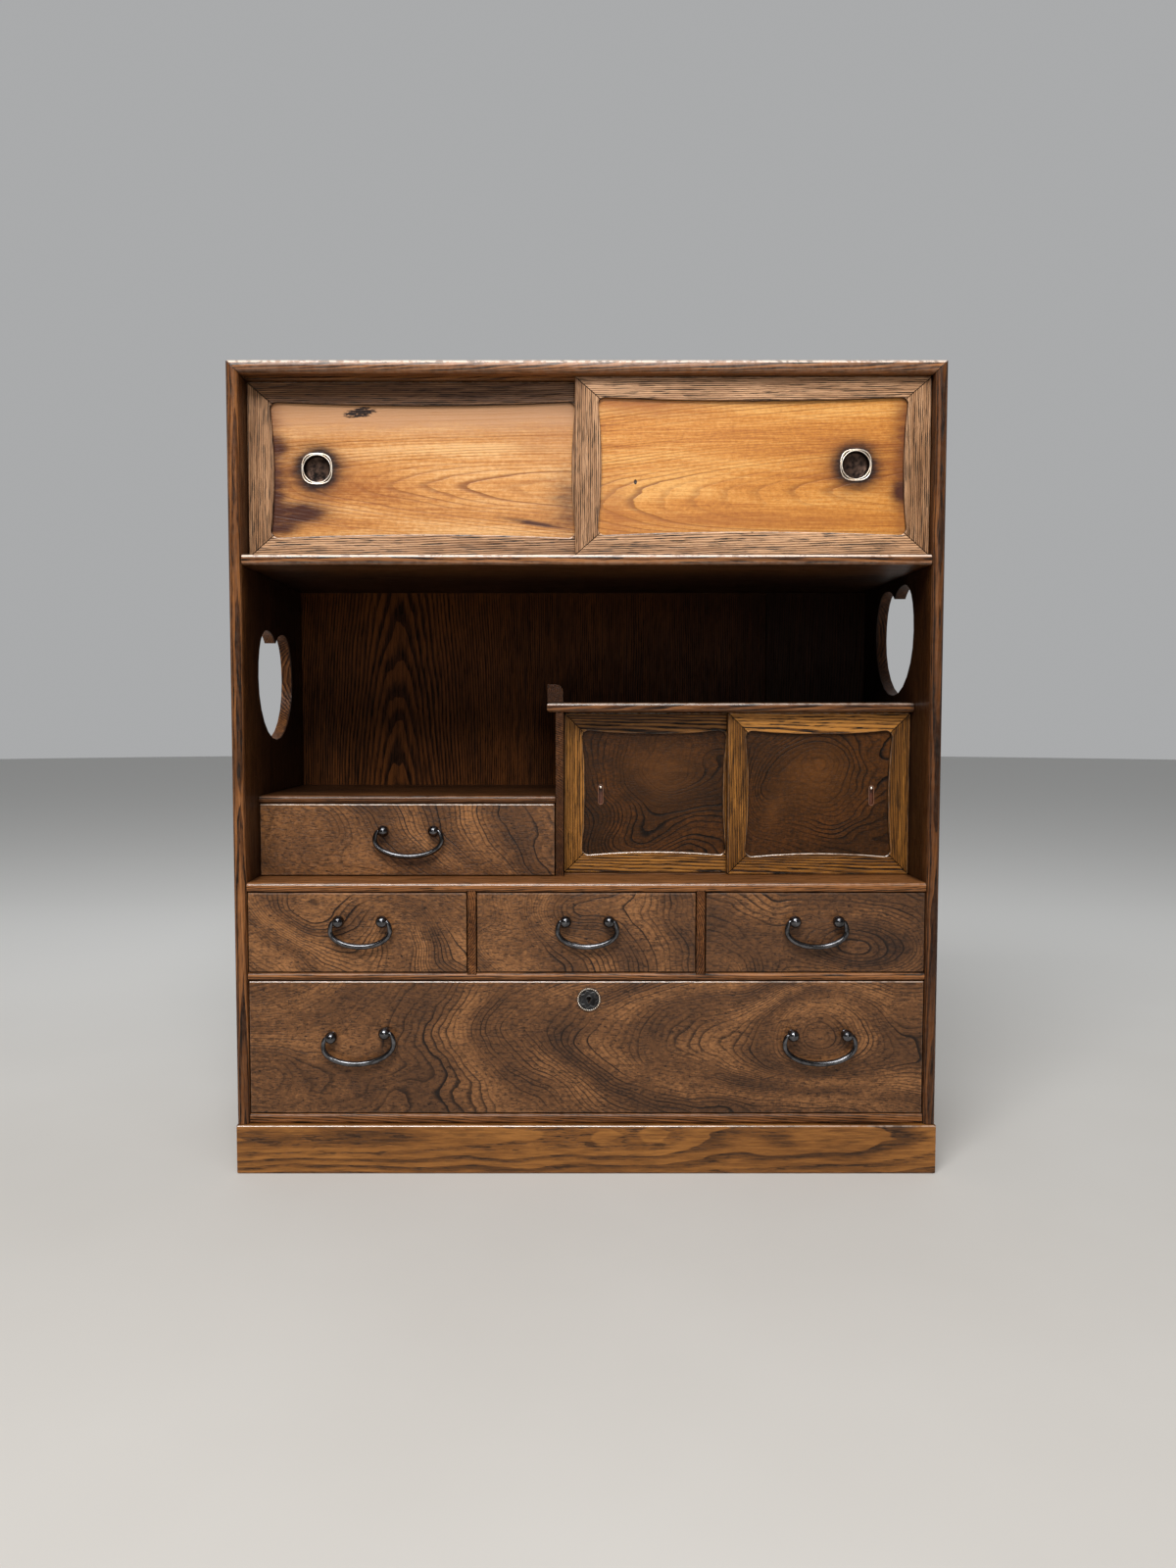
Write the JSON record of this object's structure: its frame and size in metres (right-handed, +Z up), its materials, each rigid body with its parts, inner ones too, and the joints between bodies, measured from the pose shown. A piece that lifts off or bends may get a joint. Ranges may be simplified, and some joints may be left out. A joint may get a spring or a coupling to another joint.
{
  "type": "tea cabinet",
  "caption": "Low tea cabinet with by-passing sliding doors, an open niche with pierced sides, a recessed drawer and cupboard, and drawers with iron bail handles.",
  "frame": {"origin": "under the middle of the cabinet's whole box, on the floor", "axes": "+X to the viewer's right, +Y from the front to the back, +Z up"},
  "size_m": [0.73, 0.2864, 0.8363],
  "materials": {
    "carcass_wood": "reddish brown stain, worn satin",
    "back_wood": "dark stain, dry",
    "upper_frame_wood": "brown satin",
    "golden_panel": "golden satin",
    "lower_frame_wood": "golden brown satin",
    "burl_panel": "dark burl, satin",
    "drawer_front_wood": "figured brown, satin",
    "drawer_box_wood": "bare softwood",
    "polished_iron": "blackened, polished",
    "cup_metal": "pale worn brass"
  },
  "bodies": {
    "carcass": {"left_side": "carcass_wood", "right_side": "carcass_wood", "top_board": "carcass_wood", "upper_shelf": "carcass_wood", "middle_shelf": "carcass_wood", "lower_shelf": "carcass_wood", "bottom_board": "carcass_wood", "back_board_wide": "back_wood", "back_board_narrow": "back_wood", "drawer_shelf": "carcass_wood", "cupboard_wall": "carcass_wood", "cupboard_top": "carcass_wood", "brush_stop": "carcass_wood", "drawer_divider_left": "carcass_wood", "drawer_divider_right": "carcass_wood", "plinth_front": "carcass_wood", "plinth_back": "carcass_wood", "plinth_left": "carcass_wood", "plinth_right": "carcass_wood"},
    "upper_left_door": {"upper_left_door_frame": "upper_frame_wood", "upper_left_door_panel": "golden_panel", "upper_left_door_finger_cup": "cup_metal"},
    "upper_right_door": {"upper_right_door_frame": "upper_frame_wood", "upper_right_door_panel": "golden_panel", "upper_right_door_finger_cup": "cup_metal"},
    "lower_left_door": {"lower_left_door_frame": "lower_frame_wood", "lower_left_door_panel": "burl_panel"},
    "lower_right_door": {"lower_right_door_frame": "lower_frame_wood", "lower_right_door_panel": "burl_panel"},
    "shelf_drawer": {"shelf_drawer_front": "drawer_front_wood", "shelf_drawer_box": "drawer_box_wood", "shelf_drawer_post_left": "polished_iron", "shelf_drawer_post_right": "polished_iron"},
    "small_drawer_left": {"small_drawer_left_front": "drawer_front_wood", "small_drawer_left_box": "drawer_box_wood", "small_drawer_left_post_left": "polished_iron", "small_drawer_left_post_right": "polished_iron"},
    "small_drawer_middle": {"small_drawer_middle_front": "drawer_front_wood", "small_drawer_middle_box": "drawer_box_wood", "small_drawer_middle_post_left": "polished_iron", "small_drawer_middle_post_right": "polished_iron"},
    "small_drawer_right": {"small_drawer_right_front": "drawer_front_wood", "small_drawer_right_box": "drawer_box_wood", "small_drawer_right_post_left": "polished_iron", "small_drawer_right_post_right": "polished_iron"},
    "large_drawer": {"large_drawer_front": "drawer_front_wood", "large_drawer_box": "drawer_box_wood", "key_plate": "polished_iron", "lock_case": "polished_iron", "large_drawer_left_post_left": "polished_iron", "large_drawer_left_post_right": "polished_iron", "large_drawer_right_post_left": "polished_iron", "large_drawer_right_post_right": "polished_iron"},
    "shelf_drawer_bail": {"shelf_drawer_bail": "polished_iron"},
    "small_drawer_left_bail": {"small_drawer_left_bail": "polished_iron"},
    "small_drawer_middle_bail": {"small_drawer_middle_bail": "polished_iron"},
    "small_drawer_right_bail": {"small_drawer_right_bail": "polished_iron"},
    "large_drawer_left_bail": {"large_drawer_left_bail": "polished_iron"},
    "large_drawer_right_bail": {"large_drawer_right_bail": "polished_iron"},
    "lock_bolt": {"lock_bolt": "polished_iron"}
  },
  "joints": [
    {"name": "upper_left_door_slide", "type": "slide", "parent": "carcass", "child": "upper_left_door", "axis": [1, 0, 0], "range_m": [0, 0.336]},
    {"name": "upper_right_door_slide", "type": "slide", "parent": "carcass", "child": "upper_right_door", "axis": [1, 0, 0], "range_m": [-0.336, 0]},
    {"name": "lower_left_door_slide", "type": "slide", "parent": "carcass", "child": "lower_left_door", "axis": [1, 0, 0], "range_m": [0, 0.174]},
    {"name": "lower_right_door_slide", "type": "slide", "parent": "carcass", "child": "lower_right_door", "axis": [1, 0, 0], "range_m": [-0.174, 0]},
    {"name": "shelf_drawer_slide", "type": "slide", "parent": "carcass", "child": "shelf_drawer", "axis": [0, -1, 0], "range_m": [0, 0.15]},
    {"name": "small_drawer_left_slide", "type": "slide", "parent": "carcass", "child": "small_drawer_left", "axis": [0, -1, 0], "range_m": [0, 0.19]},
    {"name": "small_drawer_middle_slide", "type": "slide", "parent": "carcass", "child": "small_drawer_middle", "axis": [0, -1, 0], "range_m": [0, 0.19]},
    {"name": "small_drawer_right_slide", "type": "slide", "parent": "carcass", "child": "small_drawer_right", "axis": [0, -1, 0], "range_m": [0, 0.19]},
    {"name": "large_drawer_slide", "type": "slide", "parent": "carcass", "child": "large_drawer", "axis": [0, -1, 0], "range_m": [0, 0.19]},
    {"name": "shelf_drawer_bail_hinge", "type": "hinge", "parent": "shelf_drawer", "child": "shelf_drawer_bail", "pos_m": [-0.19025, -0.0844, 0.3543], "axis": [-1, 0, 0], "range_deg": [0, 105]},
    {"name": "small_drawer_left_bail_hinge", "type": "hinge", "parent": "small_drawer_left", "child": "small_drawer_left_bail", "pos_m": [-0.23347, -0.1369, 0.2658], "axis": [-1, 0, 0], "range_deg": [0, 105]},
    {"name": "small_drawer_middle_bail_hinge", "type": "hinge", "parent": "small_drawer_middle", "child": "small_drawer_middle_bail", "pos_m": [0.0009, -0.1369, 0.2658], "axis": [-1, 0, 0], "range_deg": [0, 105]},
    {"name": "small_drawer_right_bail_hinge", "type": "hinge", "parent": "small_drawer_right", "child": "small_drawer_right_bail", "pos_m": [0.23757, -0.1369, 0.2658], "axis": [-1, 0, 0], "range_deg": [0, 105]},
    {"name": "large_drawer_left_bail_hinge", "type": "hinge", "parent": "large_drawer", "child": "large_drawer_left_bail", "pos_m": [-0.23693, -0.1369, 0.1467], "axis": [-0.9971, 0, -0.0767], "range_deg": [0, 105]},
    {"name": "large_drawer_right_bail_hinge", "type": "hinge", "parent": "large_drawer", "child": "large_drawer_right_bail", "pos_m": [0.24232, -0.1369, 0.1467], "axis": [-1, 0, 0], "range_deg": [0, 105]},
    {"name": "lock_bolt_slide", "type": "slide", "parent": "large_drawer", "child": "lock_bolt", "axis": [0, 0, 1], "range_m": [0, 0.0055]}
  ]
}
